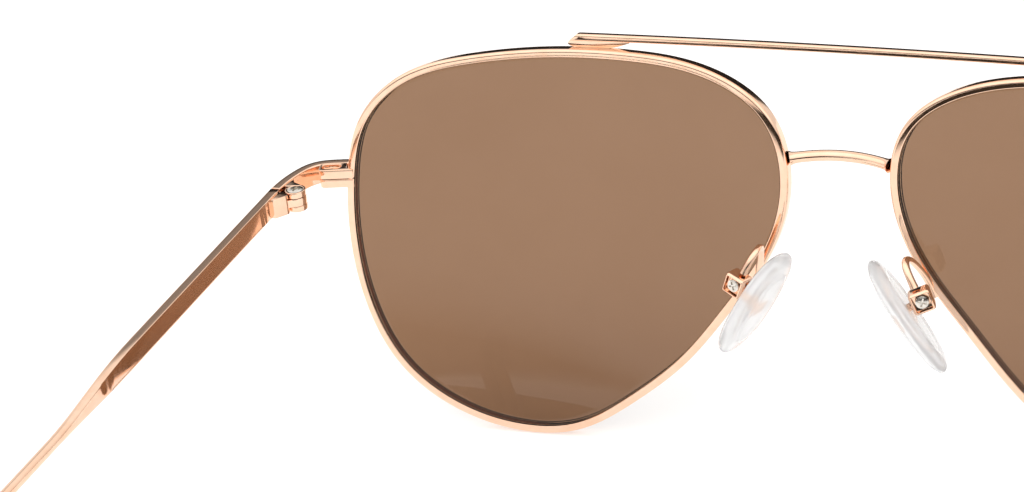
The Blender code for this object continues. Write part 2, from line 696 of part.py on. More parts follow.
def main():
    for obj in list(bpy.data.objects):
        bpy.data.objects.remove(obj, do_unlink=True)
    for name in ("aviator_sunglasses", "cutters"):
        collection = bpy.data.collections.new(name)
        bpy.context.scene.collection.children.link(collection)

    gold = colour_material("rose_gold", (0.86, 0.56, 0.40), 0.22, 1.0)
    steel = colour_material("screw_steel", (0.72, 0.72, 0.71), 0.3, 1.0)
    tint = colour_material("brown_lens", (0.37, 0.21, 0.12), 0.08, 0.0, alpha=0.9)
    silicone = colour_material("clear_silicone", (0.90, 0.90, 0.90), 0.25, 0.0, alpha=0.5)
    acetate = colour_material("brown_acetate", (0.13, 0.05, 0.025), 0.3, 0.0)

    front = add_frame("front_plane", None)
    hinge = add_frame("hinge_axis_left", front, HINGE, (-PANTO, 0, 0))
    lock = add_frame("lock_left", hinge, LOCK_AT, (0, 0, LOCK_YAW))
    pad = add_frame("pad_axis_left", front, PAD_SCREW_AT, (0, PAD_SLOPE, PAD_SPLAY))

    central = [make_brow_bar(front), make_bridge(front)]
    metal = [make_rim(front), make_endpiece(hinge), make_temple(hinge), make_pad_arm(front), make_pad_box(pad),
             make_pad_insert(pad)]
    lock_upper, lock_lower, lock_screw = make_lock(lock, hinge, front)
    front_leaf, temple_leaf, hinge_screw = make_hinge(hinge)
    metal += [lock_upper, lock_lower, front_leaf, temple_leaf]
    screws = [lock_screw, hinge_screw, make_pad_screw(pad)]
    groups = [(central, gold), (metal, gold), (screws, steel), ([make_lens(front)], tint),
              ([make_nose_pad(pad)], silicone), ([make_temple_tip(hinge)], acetate)]

    frames = {}
    pieces = []
    for group, material in groups:
        for obj in group:
            finish(obj, material)
            pieces.append(obj)
            if "_left" in obj.name:
                pieces.append(mirror_piece(obj, frames))
    stand_up(front, pieces)


main()
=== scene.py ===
"""Looks of the aviator sunglasses: every visible piece in full detail, around the solids' frame.

Pieces are drawn in millimetres in the frame of the part they belong to (the front, a lens, a hinge, a
lock, a nose pad) and placed in the row's frame by one matrix. Left-hand pieces are made first and the
right-hand ones are their mirror images.
"""

import json
import math

import bmesh
import bpy
import numpy as np
from mathutils import Matrix, Vector


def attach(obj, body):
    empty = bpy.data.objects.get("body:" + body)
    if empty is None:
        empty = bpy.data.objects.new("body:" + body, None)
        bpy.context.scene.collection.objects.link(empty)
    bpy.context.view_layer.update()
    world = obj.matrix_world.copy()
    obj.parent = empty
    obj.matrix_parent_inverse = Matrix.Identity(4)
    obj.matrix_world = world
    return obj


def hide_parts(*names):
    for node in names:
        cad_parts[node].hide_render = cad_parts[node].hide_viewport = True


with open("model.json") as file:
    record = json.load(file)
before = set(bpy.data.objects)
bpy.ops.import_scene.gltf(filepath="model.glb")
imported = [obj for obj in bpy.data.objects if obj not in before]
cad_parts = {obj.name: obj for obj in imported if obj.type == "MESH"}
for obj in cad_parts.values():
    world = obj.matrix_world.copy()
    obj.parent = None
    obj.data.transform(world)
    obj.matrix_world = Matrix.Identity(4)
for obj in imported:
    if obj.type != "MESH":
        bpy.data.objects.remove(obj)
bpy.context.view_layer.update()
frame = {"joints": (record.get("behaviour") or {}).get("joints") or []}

MM = 0.001

# Lens and rim
LENS_CENTRE = 36.5
WRAP = math.radians(0.7)
LENS_RADIUS = 128.0
LENS_THICKNESS = 1.8
RIM_DEPTH = 2.0
RIM_WALL = 1.05
RIM_SLIT = 0.2
# Opening of the left rim from the lens centre, towards the temple and up, starting at the slit.
RIM_OPENING = [
    (28.8, 7.7), (26.8, 15.0), (21.0, 21.0), (12.0, 23.9), (1.0, 25.3), (-10.0, 25.5), (-20.0, 24.1),
    (-27.0, 19.5), (-29.0, 12.5), (-26.3, 2.0), (-20.4, -6.7), (-14.2, -14.3), (-6.9, -20.4),
    (0.1, -24.4), (8.0, -25.1), (16.5, -22.7), (23.6, -17.2), (27.7, -9.0), (29.1, -1.0),
]
OPENING_STEPS = 14

# Brow bar and bridge
BAR_HALF_LENGTH = 35.2
BAR_HEIGHT = 27.85
BAR_BOW = 1.1
BAR_SIZE = (1.2, 0.88)
BAR_END_CUT = 1.1
BAR_FOOT = [(27.2, 27.38), (29.0, 26.75), (31.0, 26.45), (35.2, 26.6), (35.6, 27.0), (34.9, 27.55),
            (28.0, 27.55)]
BRIDGE_HALF_SPAN = 6.35
BRIDGE_RADIUS = 0.74
BRIDGE_FLARE = 0.35
BRIDGE_END = Vector((0, 2.8, 14.35))
BRIDGE_CROWN = Vector((0, 1.7, 14.78))

# Hinge side, in the hinge's frame: Y runs back along the temple
HINGE_AT = Vector((70.7, 10.05, 6.72))
PANTO = math.radians(8.2)
STRIP_THICKNESS = 1.3
STRIP_HEIGHT = 2.7
STRIP_OFFSET = 2.6
ENDPIECE_PATH = [(-3.9, -8.6), (-1.5, -8.0), (-0.15, -7.4), (0.85, -6.4), (1.75, -4.4), (2.35, -1.9),
                 (2.6, 0.5)]
SEAM = 0.65
BARREL_RADIUS = 1.35
BARREL_LOW = -1.5
BARREL_TOP = 1.2
KNUCKLE_LOW = -0.7
KNUCKLE_TOP = 0.35
KNUCKLE_GAP = 0.06
LOCK_AT = Vector((-2.2, -6.58, 0))
LOCK_YAW = math.radians(14)
LOCK_LOW = Vector((-2.0, -1.1, -1.2))
LOCK_HIGH = Vector((1.6, 1.1, 1.1))
LOCK_SCREW_X = 0.1

# Temple
TEMPLE_LENGTH = 143.0
FLAT_END = 41.0
TAPER_END = 62.0
ROD_HEIGHT = 1.25
ROD_DROP = 0.55
EAR_BEND_AT = 97.0
EAR_BEND_RADIUS = 25.0
EAR_BEND = math.radians(38)
TIP_CORE_END = 140.5
PANEL_START = 5.4
PANEL_END = 48.5
PANEL_DEPTH = 0.16
TIP_SECTIONS = [(83.0, 2.3, 2.4), (84.5, 2.5, 2.8), (97.0, 2.5, 3.6), (104.0, 2.5, 4.0), (111.0, 2.5, 4.5),
                (120.0, 2.6, 5.2), (132.0, 2.7, 5.8), (139.0, 2.6, 5.4), (142.0, 2.2, 3.8), (143.0, 1.2, 1.8)]

# Nose pads, in the frame of each pad screw
PAD_SLOPE = math.radians(-32)
PAD_SPLAY = math.radians(-17)
PAD_CENTRE = Vector((-2.9, -1.2, -1.3))
PAD_HALF_LENGTH = 8.35
PAD_FRONT = 4.1
PAD_BACK = 4.0
PAD_THICKNESS = 2.4
BOX_SIZE = Vector((2.8, 2.4, 2.8))
BOX_TURN = math.radians(11)
ARM_RADIUS = 0.48
ARM_ROUTE = [(11.3, 1.2, -2.6), (11.0, 1.9, -1.2), (10.4, 3.2, 0.9), (9.8, 4.8, 2.7), (9.4, 6.2, 3.7),
             (9.35, 7.2, 3.8), (9.7, 8.1, 3.2), (10.3, 8.55, 2.1), (10.85, 8.7, 1.0)]

# Camera, in the front's frame
CAMERA_AT = Vector((-108.28, 361.21, 139.85))
CAMERA_YAW = math.radians(23.02)
CAMERA_PITCH = math.radians(19.79)
CAMERA_ROLL = math.radians(-3.32)
CAMERA_LENS = 113.128

# Screw heads and wires
WIRE_SIDES = 28
DOME_RISE = 0.4
DOME_POWER = 2.5
RECESS_SPAN = 1.35
RECESS_RISE = 0.62

# Surface finish: sizes in the Object coordinates' metres or per metre
HAIRLINE_TURN = (0.4, 0.9, 0.3)
HAIRLINE_STRETCH = (9000.0, 500.0, 5000.0)
RELIEF_DEPTH = 0.00002
# Painted shade: below this height the lens colour turns a darker brown, standing in for the contact shadow seen
# through it
LENS_SHADE_HEIGHT = 0.022
PATCH_STRETCH = (260.0, 110.0, 190.0)

# Floor, in metres
FLOOR_HALF = 3.0
FLOOR_WHITE = (0.68, 0.68, 0.68, 1)
FLOOR_SHADE = (0.03, 0.025, 0.02, 1)
FLOOR_GLOW = 0.45
SHADE_BEHIND = (0.035, 0.07)
SHADE_BESIDE = (0.105, 0.085)

# Light, by direction
FRONT_BELT_LEFT = 0.51
FRONT_BELT_RIGHT = -0.27
FRONT_BELT_TOP = 0.62
BACK_BELT_TOP = 0.17
BACK_BELT_LEFT = 0.62
GREY_PANEL_RIGHT = 0.3
GREY_PANEL_LOW = 0.4
GREY_LEVEL = 0.25
DARK_LEVEL = 0.02
SOFTBOX_LOW = 0.28
SOFTBOX_LEVEL = 0.4
BEHIND_START = -0.1
SKY_LEVEL = 0.85
SKY_RISE = 0.35
# How fast each edge goes from nothing to all
BELT_EDGE = 14.0
SHARP_END = 20.0
SOFT_END = 8.0
GREY_END = 9.0
BEHIND_EDGE = 5.0

SIDES = ("left", "right")


# ---------------------------------------------------------------- frames

def joint_named(name):
    """One joint of the record, by name."""
    return next(entry for entry in frame["joints"] if entry["name"] == name)


def part_frames():
    """The frames of the left-hand parts, from millimetres to the row's frame, read off its joints."""
    hinge_joint = joint_named("temple_fold_left")
    axis = Vector(hinge_joint["axis"])
    lean = PANTO - math.atan2(axis.y, axis.z)
    turn = Matrix.Rotation(lean, 4, "X")
    origin = Vector(hinge_joint["pos_m"]) - turn @ (HINGE_AT * MM)
    front = Matrix.Translation(origin) @ turn @ Matrix.Scale(MM, 4)
    lens = front @ Matrix.Translation((LENS_CENTRE, 0, 0))
    lens = lens @ Matrix.Rotation(WRAP, 4, "Z") @ Matrix.Rotation(math.radians(90), 4, "X")
    hinge = front @ Matrix.Translation(HINGE_AT) @ Matrix.Rotation(-PANTO, 4, "X")
    lock = hinge @ Matrix.Translation(LOCK_AT) @ Matrix.Rotation(LOCK_YAW, 4, "Z")
    pad = Matrix.Translation(Vector(joint_named("pad_rock_left")["pos_m"])) @ turn
    pad = pad @ Matrix.Rotation(PAD_SPLAY, 4, "Z") @ Matrix.Rotation(PAD_SLOPE, 4, "Y") @ Matrix.Scale(MM, 4)
    return {"front": front, "lens": lens, "hinge": hinge, "lock": lock, "pad": pad}


FRAMES = part_frames()


# ---------------------------------------------------------------- curves and outlines

def spline(points, steps, closed=False):
    """Points of a curve of continuous curvature through the given points."""
    knots = np.array(points, float)
    if closed:
        knots = np.vstack([knots, knots[:1]])
    spans = np.linalg.norm(np.diff(knots, axis=0), axis=1)
    count = len(spans)
    size = count if closed else count + 1
    system = np.zeros((size, size))
    bends = np.zeros((size, knots.shape[1]))
    for i in range(size):
        if not closed and i in (0, count):
            system[i, i] = 1
            continue
        before, after = spans[i - 1], spans[i % count]
        system[i, i - 1] += before
        system[i, i] += 2 * (before + after)
        system[i, (i + 1) % size] += after
        bends[i] = 6 * ((knots[i + 1] - knots[i]) / after - (knots[i] - knots[i - 1 if i else -2]) / before)
    bends = np.linalg.solve(system, bends)
    path = []
    for i in range(count):
        length = spans[i]
        low, high = bends[i], bends[(i + 1) % size]
        for step in range(steps):
            t = length * step / steps
            rest = length - t
            path.append(low * rest ** 3 / (6 * length) + high * t ** 3 / (6 * length)
                        + (knots[i] / length - low * length / 6) * rest
                        + (knots[i + 1] / length - high * length / 6) * t)
    if not closed:
        path.append(knots[-1])
    return [Vector(point) for point in path]


def rounded(corners, radii, steps=5):
    """A flat outline with its corners rounded, each by its own radius or all by one."""
    corners = [Vector(corner) for corner in corners]
    if not isinstance(radii, (list, tuple)):
        radii = [radii] * len(corners)
    outline = []
    for index, corner in enumerate(corners):
        radius = radii[index]
        if radius == 0:
            outline.append(corner)
            continue
        back = (corners[index - 1] - corner).normalized()
        ahead = (corners[(index + 1) % len(corners)] - corner).normalized()
        for step in range(steps + 1):
            t = step / steps
            outline.append(corner + back * radius * (1 - t) ** 2 + ahead * radius * t ** 2)
    return outline


def box_outline(width, height, radius, steps=5):
    """A centred rectangle with rounded corners."""
    x, y = width / 2, height / 2
    return rounded([(x, y), (-x, y), (-x, -y), (x, -y)], radius, steps)


def arc(radius, start, end, steps):
    """Points of an arc about the origin, angles in degrees."""
    angles = [math.radians(start + (end - start) * step / steps) for step in range(steps + 1)]
    return [Vector((radius * math.cos(angle), radius * math.sin(angle))) for angle in angles]


def smooth_step(low, high, value):
    """Rise smoothly from 0 to 1 as the value goes from low to high."""
    t = min(max((value - low) / (high - low), 0.0), 1.0)
    return t * t * (3 - 2 * t)


# ---------------------------------------------------------------- solids

def skin(rings, closed=False):
    """Join a row of rings, each a list of points or one single point at an end, into a closed shell."""
    shell = bmesh.new()
    rows = [[shell.verts.new(point) for point in ring] for ring in rings]
    pairs = list(zip(rows, rows[1:]))
    if closed:
        pairs.append((rows[-1], rows[0]))
    for row, following in pairs:
        count = max(len(row), len(following))
        for index in range(count):
            corners = [row[index % len(row)], row[(index + 1) % len(row)],
                       following[(index + 1) % len(following)], following[index % len(following)]]
            shell.faces.new(list(dict.fromkeys(corners)))
    if not closed:
        for row in (rows[0], rows[-1]):
            if len(row) > 1:
                shell.faces.new(row)
    bmesh.ops.recalc_face_normals(shell, faces=shell.faces)
    return shell


def sweep(path, section, up, sizes=None):
    """Rings of a section, across and up, carried along a path."""
    rings = []
    last = len(path) - 1
    for index, place in enumerate(path):
        along = (path[min(index + 1, last)] - path[max(index - 1, 0)]).normalized()
        across = along.cross(up).normalized()
        lift = across.cross(along)
        size = sizes[index] if sizes else 1.0
        rings.append([place + across * point[0] * size + lift * point[1] * size for point in section])
    return rings


def prism(outline, low, high):
    """An outline extruded from one height to another."""
    return skin([[Vector((point[0], point[1], height)) for point in outline] for height in (low, high)])


def block(low, high):
    """A box between two corners."""
    plan = [(low[0], low[1]), (high[0], low[1]), (high[0], high[1]), (low[0], high[1])]
    return prism(plan, low[2], high[2])


def turned(shell, matrix):
    """Move a shell by a matrix."""
    shell.transform(matrix)
    return shell


def loose_object(name, shell):
    """A bmesh as an object of its own, for modifiers."""
    mesh = bpy.data.meshes.new(name)
    shell.to_mesh(mesh)
    shell.free()
    obj = bpy.data.objects.new(name, mesh)
    bpy.context.scene.collection.objects.link(obj)
    return obj


def evaluated(obj):
    """The object's mesh with its modifiers applied; the object is removed."""
    bpy.context.view_layer.update()
    graph = bpy.context.evaluated_depsgraph_get()
    mesh = bpy.data.meshes.new_from_object(obj.evaluated_get(graph), depsgraph=graph)
    bpy.data.objects.remove(obj)
    return mesh


def carve(shell, others, operation="DIFFERENCE"):
    """Cut other shells from a shell, or join them on."""
    for number, other in enumerate(others):
        body = loose_object("body_%d" % number, shell)
        tool = loose_object("tool_%d" % number, other)
        change = body.modifiers.new("change", "BOOLEAN")
        change.object = tool
        change.operation = operation
        change.solver = "EXACT"
        mesh = evaluated(body)
        bpy.data.objects.remove(tool)
        shell = bmesh.new()
        shell.from_mesh(mesh)
        bmesh.ops.remove_doubles(shell, verts=shell.verts, dist=0.0005)
        bpy.data.meshes.remove(mesh)
    return shell


def softened(shell, width, segments=3, angle=35):
    """Round the sharp edges of a shell."""
    obj = loose_object("soft_edges", shell)
    bevel = obj.modifiers.new("edges", "BEVEL")
    bevel.width = width
    bevel.segments = segments
    bevel.limit_method = "ANGLE"
    bevel.angle_limit = math.radians(angle)
    bevel.use_clamp_overlap = True
    mesh = evaluated(obj)
    shell = bmesh.new()
    shell.from_mesh(mesh)
    bpy.data.meshes.remove(mesh)
    return shell


# ---------------------------------------------------------------- pieces

def add_piece(name, mesh, body, nodes, material):
    """Show one finished piece: it rides on a body and stands for the solids it replaces."""
    mesh.materials.clear()
    for finish in material if isinstance(material, list) else [material]:
        mesh.materials.append(finish)
    mesh.shade_smooth()
    mesh.set_sharp_from_angle(angle=math.radians(40))
    mesh.name = name
    obj = bpy.data.objects.new(name, mesh)
    bpy.context.scene.collection.objects.link(obj)
    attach(obj, body)
    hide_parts(*nodes)
    return obj


def placed(shell, part, mirror=False):
    """A shell drawn in a part's frame, as a mesh in the row's frame."""
    shell.transform(FRAMES[part])
    if mirror:
        shell.transform(Matrix.Scale(-1, 4, (1, 0, 0)))
        bmesh.ops.reverse_faces(shell, faces=shell.faces)
    mesh = bpy.data.meshes.new("piece")
    shell.to_mesh(mesh)
    return mesh


def add_pair(name, shell, part, body, nodes, material):
    """Show a left-hand piece and its mirror image. A body or node with a side is named without it."""
    for side in SIDES:
        copy = shell.copy()
        mesh = placed(copy, part, mirror=side == "right")
        copy.free()
        rides_on = body if body == "front" else "%s_%s" % (body, side)
        add_piece("%s_%s" % (name, side), mesh, rides_on, ["%s_%s" % (node, side) for node in nodes],
                  material)
    shell.free()


def lens_sag(point):
    """How far the lens falls back from its pole."""
    return LENS_RADIUS - math.sqrt(LENS_RADIUS ** 2 - point.x ** 2 - point.y ** 2)


def opening_loop():
    """The opening of the left rim with the outward direction at each point."""
    loop = spline(RIM_OPENING, OPENING_STEPS, closed=True)
    count = len(loop)
    outward = []
    for index in range(count):
        along = (loop[(index + 1) % count] - loop[index - 1]).normalized()
        outward.append(Vector((along.y, -along.x)))
    return loop, outward


def make_rims(gold):
    """The rims: a rounded wire with the lens groove inside, split at the lock."""
    loop, outward = opening_loop()
    half = RIM_DEPTH / 2
    corners = [(0, 0.55), (0, half), (RIM_WALL, half), (RIM_WALL, -half), (0, -half), (0, -0.55),
               (0.6, -0.12), (0.6, 0.12)]
    section = rounded(corners, [0, 0.14, 0.5, 0.5, 0.14, 0, 0, 0], 8)
    rings = []
    order = list(range(len(loop))) + [0]
    for number, index in enumerate(order):
        point, away = loop[index], outward[index]
        if number in (0, len(order) - 1):
            toward = loop[1] if number == 0 else loop[-1]
            point = point + (toward - point).normalized() * RIM_SLIT / 2
        height = RIM_DEPTH / 2 - lens_sag(loop[index])
        rings.append([Vector((*(point + away * a), height + b)) for a, b in section])
    add_pair("polished_rim", skin(rings), "lens", "front", ["rim"], gold)


def make_lenses(tint, ground):
    """The curved lenses with a polished bevel that sits in the rim's groove."""
    loop, outward = opening_loop()
    face = LENS_THICKNESS / 2
    fractions = [0.12, 0.25, 0.4, 0.55, 0.7, 0.82, 0.9, 0.96]
    edge = [(-0.25, face), (-0.1, face - 0.03), (-0.05, face - 0.12), (-0.05, 0.45), (0.45, 0.05),
            (0.45, -0.05), (-0.05, -0.45), (-0.05, 0.12 - face), (-0.1, 0.03 - face), (-0.25, -face)]
    middle = RIM_DEPTH / 2

    def ring(part, depth):
        return [Vector((*(point * part), middle - lens_sag(point * part) + depth)) for point in loop]

    rings = [[Vector((0, 0, middle + face))]] + [ring(part, face) for part in fractions]
    for distance, depth in edge:
        rings.append([Vector((*(point + away * distance), middle - lens_sag(point + away * distance) + depth))
                      for point, away in zip(loop, outward)])
    rings += [ring(part, -face) for part in reversed(fractions)] + [[Vector((0, 0, middle - face))]]
    shell = skin(rings)
    shell.faces.ensure_lookup_table()
    count = len(loop)
    first = 1 + len(fractions)
    for face in shell.faces[(first + 2) * count:(first + 7) * count]:
        face.material_index = 1
    add_pair("tinted_lens", shell, "lens", "front", ["lens"], [tint, ground])


def make_brow_bar(gold):
    """The brow bar with obliquely cut ends, and its soldered feet."""
    steps = 64
    deep, high = BAR_SIZE[0] / 2, BAR_SIZE[1] / 2
    corners = [(deep, high), (-deep, high), (-deep, -high), (deep, -high)]
    section = rounded(corners, [0.36, 0.36, 0.16, 0.16], 6)
    rings = []
    for step in range(steps + 1):
        x = BAR_HALF_LENGTH * (2 * step / steps - 1)
        place = Vector((x, BAR_BOW * (x / BAR_HALF_LENGTH) ** 2, BAR_HEIGHT))
        slope = 2 * BAR_BOW * x / BAR_HALF_LENGTH ** 2
        out = Vector((-slope, 1, 0)).normalized()
        part = x / BAR_HALF_LENGTH * 40
        cut = BAR_END_CUT * (smooth_step(-1, 1, part - 39) - smooth_step(-1, 1, -part - 39))
        ring = []
        for across, up in section:
            shear = Vector((-cut * (up / BAR_SIZE[1] + 0.5), 0, 0))
            ring.append(place + out * across + Vector((0, 0, up)) + shear)
        rings.append(ring)
    bar = softened(skin(rings), 0.08, 2, 60)
    add_piece("polished_brow_bar", placed(bar, "front"), "front", ["brow_bar"], gold)

    outline = rounded(BAR_FOOT, [0.25, 0.6, 1.0, 0.4, 0.3, 0.25, 0.3], 6)
    foot = turned(prism(outline, -0.36, 0.36), Matrix.Rotation(math.radians(90), 4, "X"))
    foot = turned(foot, Matrix.Translation((0, BAR_BOW * 0.82, 0)))
    add_pair("brow_bar_foot", softened(foot, 0.22, 4), "front", "front", [], gold)


def make_bridge_and_arms(gold):
    """The bridge and the looped pad arms: drawn wires that swell where they are soldered."""
    steps = 40
    points, girths = [], []
    for step in range(steps + 1):
        part = 2 * step / steps - 1
        place = BRIDGE_CROWN.lerp(BRIDGE_END, part * part)
        points.append(Vector((part * BRIDGE_HALF_SPAN, place.y, place.z)))
        from_end = (1 - abs(part)) * BRIDGE_HALF_SPAN
        girths.append(1 + BRIDGE_FLARE * math.exp(-from_end / 0.35))
    wire = drawn_wire("bridge_wire", points, BRIDGE_RADIUS, 0.94, girths, gold)
    add_piece("bridge_wire", placed(wire, "front"), "front", ["bridge"], gold)

    points = spline(ARM_ROUTE, 8)
    count = len(points) - 1
    girths = [1 + 0.35 * math.exp(-index / 4) + 0.12 * math.exp(-(count - index) / 4)
              for index in range(count + 1)]
    arm = drawn_wire("pad_arm_wire", points, ARM_RADIUS, 0.8, girths, gold)
    add_pair("pad_arm_wire", arm, "front", "front", ["pad_arm"], gold)


def make_locks(gold):
    """The two halves of each rim lock; the upper one has an oblong recess for its screw."""
    low, high = LOCK_LOW, LOCK_HIGH
    plan = rounded([(low.x - 1.0, 0.35), (low.x, 0.35), (low.x, low.y - 0.5), (high.x, low.y - 0.5),
                    (high.x, high.y), (low.x - 1.0, high.y)], [0.1, 0, 0, 0.3, 0.75, 0.12], 6)
    recess_plan = rounded([(-1.25, -0.62), (1.3, -0.62), (1.3, 0.62), (-1.25, 0.62)], 0.6, 8)
    top = high.z + 0.22
    recess_at = Matrix.Translation((LOCK_SCREW_X - 0.15, -0.1, 0))
    recess = turned(prism(recess_plan, top - 0.5, top + 1), recess_at)
    upper = softened(carve(prism(plan, 0.05, top), [recess]), 0.09)
    lower = softened(prism(plan, low.z, -0.05), 0.14)
    add_pair("lock_upper_half", upper, "lock", "front", ["rim_lock_upper"], gold)
    add_pair("lock_lower_half", lower, "lock", "front", ["rim_lock_lower"], gold)


def make_endpieces(gold):
    """The strips that turn from the front back to the hinges."""
    path = spline([(x, y, 0) for x, y in ENDPIECE_PATH], 8)
    section = box_outline(STRIP_THICKNESS, STRIP_HEIGHT, 0.2, 5)
    add_pair("endpiece_strip", softened(skin(sweep(path, section, Vector((0, 0, 1)))), 0.08, 2, 60), "hinge",
             "front", ["endpiece"], gold)


def make_hinges(gold):
    """The hinge leaves: two knuckles on the endpiece, and one on the temple with its block."""
    inside = 2.15
    barrel = arc(BARREL_RADIUS, -30, 260, 48)
    arm = [Vector(point) for point in ((1.0, -1.95), (1.7, -3.2), (inside, -3.2), (inside, -0.7))]
    whole = prism(barrel + arm, BARREL_LOW, BARREL_TOP)
    reach = BARREL_RADIUS + 0.15
    window = block((-3, -reach, KNUCKLE_LOW - KNUCKLE_GAP), (1.9, 3, KNUCKLE_TOP + KNUCKLE_GAP))
    recess = prism(arc(1.06, 0, 352.5, 47), BARREL_TOP - 0.3, BARREL_TOP + 1)
    front_leaf = softened(carve(whole, [window, recess]), 0.07)
    add_pair("hinge_leaf_front", front_leaf, "hinge", "front", ["hinge_front_leaf"], gold)

    block_plan = rounded([(inside, 0.85), (inside, 3.4), (1.6, 3.4), (0.4, 1.95), (0.4, 1.5), (1.45, 0.85)],
                         [0, 0, 0.1, 0.25, 0.05, 0.1], 5)
    body = prism(block_plan, BARREL_LOW + 0.05, BARREL_TOP - 0.05)
    knuckle_plan = arc(BARREL_RADIUS, 100, 400, 48)
    knuckle_plan += [Vector(point) for point in ((1.5, 0.9), (1.5, 2.0), (0.9, 2.1))]
    knuckle = prism(knuckle_plan, KNUCKLE_LOW, KNUCKLE_TOP)
    temple_leaf = softened(carve(body, [knuckle], "UNION"), 0.09)
    add_pair("hinge_leaf_temple", temple_leaf, "hinge", "temple_arm", ["hinge_temple_leaf"], gold)


def temple_point(distance):
    """Point and backward direction of the temple's centre line, at a distance from the hinge axis."""
    turned_by = min(max(distance - EAR_BEND_AT, 0.0) / EAR_BEND_RADIUS, EAR_BEND)
    bend_end = EAR_BEND_AT + EAR_BEND_RADIUS * EAR_BEND
    y = min(distance, EAR_BEND_AT) + EAR_BEND_RADIUS * math.sin(turned_by)
    z = EAR_BEND_RADIUS * (math.cos(turned_by) - 1)
    along = Vector((0, math.cos(turned_by), -math.sin(turned_by)))
    return Vector((STRIP_OFFSET, y, z)) + along * max(distance - bend_end, 0.0), along


def make_temples(gold):
    """The temples: a flat strip with a milled inner panel that runs out into a round rod."""
    stretches = [(SEAM, 4.6, 5), (4.9, 6.6, 12), (7.5, 45.0, 16), (45.8, 51.5, 18), (52.5, TIP_CORE_END, 60)]
    stations = [distance for stretch in stretches for distance in np.linspace(*stretch)]
    rings = []
    for distance in stations:
        centre, along = temple_point(distance)
        up = Vector((0, -along.z, along.y))
        taper = smooth_step(FLAT_END, TAPER_END, distance)
        height = STRIP_HEIGHT + (ROD_HEIGHT - STRIP_HEIGHT) * taper
        centre = centre - up * ROD_DROP * taper
        corner = 0.16 + 0.45 * smooth_step(PANEL_END - 2, TAPER_END, distance)
        ring = []
        for across, lift in box_outline(STRIP_THICKNESS, height, corner, 5):
            lean = distance + lift * 0.35
            sunk = smooth_step(PANEL_START, PANEL_START + 0.5, lean)
            sunk *= 1 - smooth_step(PANEL_END - 1.2, PANEL_END, distance - (lift / height + 0.5) ** 2 * 2.2)
            on_inner_face = across < 0.05 - STRIP_THICKNESS / 2
            ring.append(centre + Vector((across + PANEL_DEPTH * sunk * on_inner_face, 0, 0)) + up * lift)
        rings.append(ring)
    add_pair("temple_strip", softened(skin(rings), 0.06, 2, 60), "hinge", "temple_arm", ["temple"], gold)


def make_temple_tips(acetate):
    """The acetate sleeves: flat sided, fuller behind the ear, with a rounded end."""
    sections = spline([(d, w, h) for d, w, h in TIP_SECTIONS], 6)
    rings = []
    around = 40
    first = sections[0]
    sections = [Vector((first.x, first.y - 0.5, first.z - 0.5)),
                Vector((first.x + 0.12, first.y - 0.1, first.z - 0.1))] + sections[1:]
    for distance, width, height in sections:
        centre, along = temple_point(distance)
        up = Vector((0, -along.z, along.y))
        centre = centre - up * ROD_DROP
        ring = []
        for step in range(around):
            angle = 2 * math.pi * step / around
            x = math.copysign(abs(math.cos(angle)) ** 0.7, math.cos(angle)) * width / 2
            lift = math.copysign(abs(math.sin(angle)) ** 0.8, math.sin(angle)) * height / 2
            ring.append(centre + Vector((x, 0, 0)) + up * lift)
        rings.append(ring)
    end, along = temple_point(TEMPLE_LENGTH)
    up = Vector((0, -along.z, along.y))
    tip = end - up * ROD_DROP
    for shrink, ahead in ((0.7, 0.12), (0.5, 0.2)):
        rings.append([tip + (point - tip) * shrink + along * ahead for point in rings[-1]])
    rings.append([tip + along * 0.22])
    add_pair("temple_tip_sleeve", skin(rings), "hinge", "temple_arm", ["temple_tip"], acetate)


def pad_outline(angle):
    """Outline of a nose pad: towards the wearer, and up."""
    depth, rise = math.cos(angle), math.sin(angle)
    half = PAD_BACK if depth > 0 else PAD_FRONT
    return (math.copysign(abs(depth) ** 0.86, depth) * half,
            math.copysign(abs(rise) ** 0.86, rise) * PAD_HALF_LENGTH)


def make_nose_pads(silicone):
    """The moulded pads: a soft oval cushion with a raised inner oval on each face."""
    around = 96
    fractions = [0.15, 0.3, 0.45, 0.58, 0.64, 0.67, 0.7, 0.76, 0.82, 0.87, 0.91, 0.945, 0.97, 0.985, 0.996]

    def thickness(part, side):
        pillow = (1 - part ** 7) ** 0.5
        ridge = 0.22 * (1 - smooth_step(0.63, 0.7, part)) if side < 0 else 0.2 * smooth_step(0.67, 0.76, part)
        dish = 0.12 * (1 - part ** 2) if side < 0 else 0.0
        return side * ((PAD_THICKNESS / 2 - 0.2) * pillow + ridge * pillow + dish * 0.5)

    def ring(part, side):
        points = []
        for step in range(around):
            back, up = pad_outline(2 * math.pi * step / around)
            points.append(PAD_CENTRE + Vector((thickness(part, side), back * part, up * part)))
        return points

    rings = [[PAD_CENTRE + Vector((thickness(0, -1), 0, 0))]] + [ring(part, -1) for part in fractions]
    rings += [ring(1.0, 1)] + [ring(part, 1) for part in reversed(fractions)]
    rings.append([PAD_CENTRE + Vector((thickness(0, 1), 0, 0))])
    add_pair("moulded_nose_pad", skin(rings), "pad", "nose_rest", ["nose_pad"], silicone)


def make_pad_cores(gold):
    """The metal plates moulded into the pads, with the lugs that rock in the boxes."""
    plate = block(PAD_CENTRE - Vector((0.2, 0.9, 1.0)), PAD_CENTRE + Vector((0.2, 0.9, 1.0)))
    lug = block((PAD_CENTRE.x, -0.34, -0.42), (-0.3, 0.34, 0.42))
    add_pair("pad_core", softened(carve(plate, [lug], "UNION"), 0.08), "pad", "nose_rest", ["pad_insert"], gold)


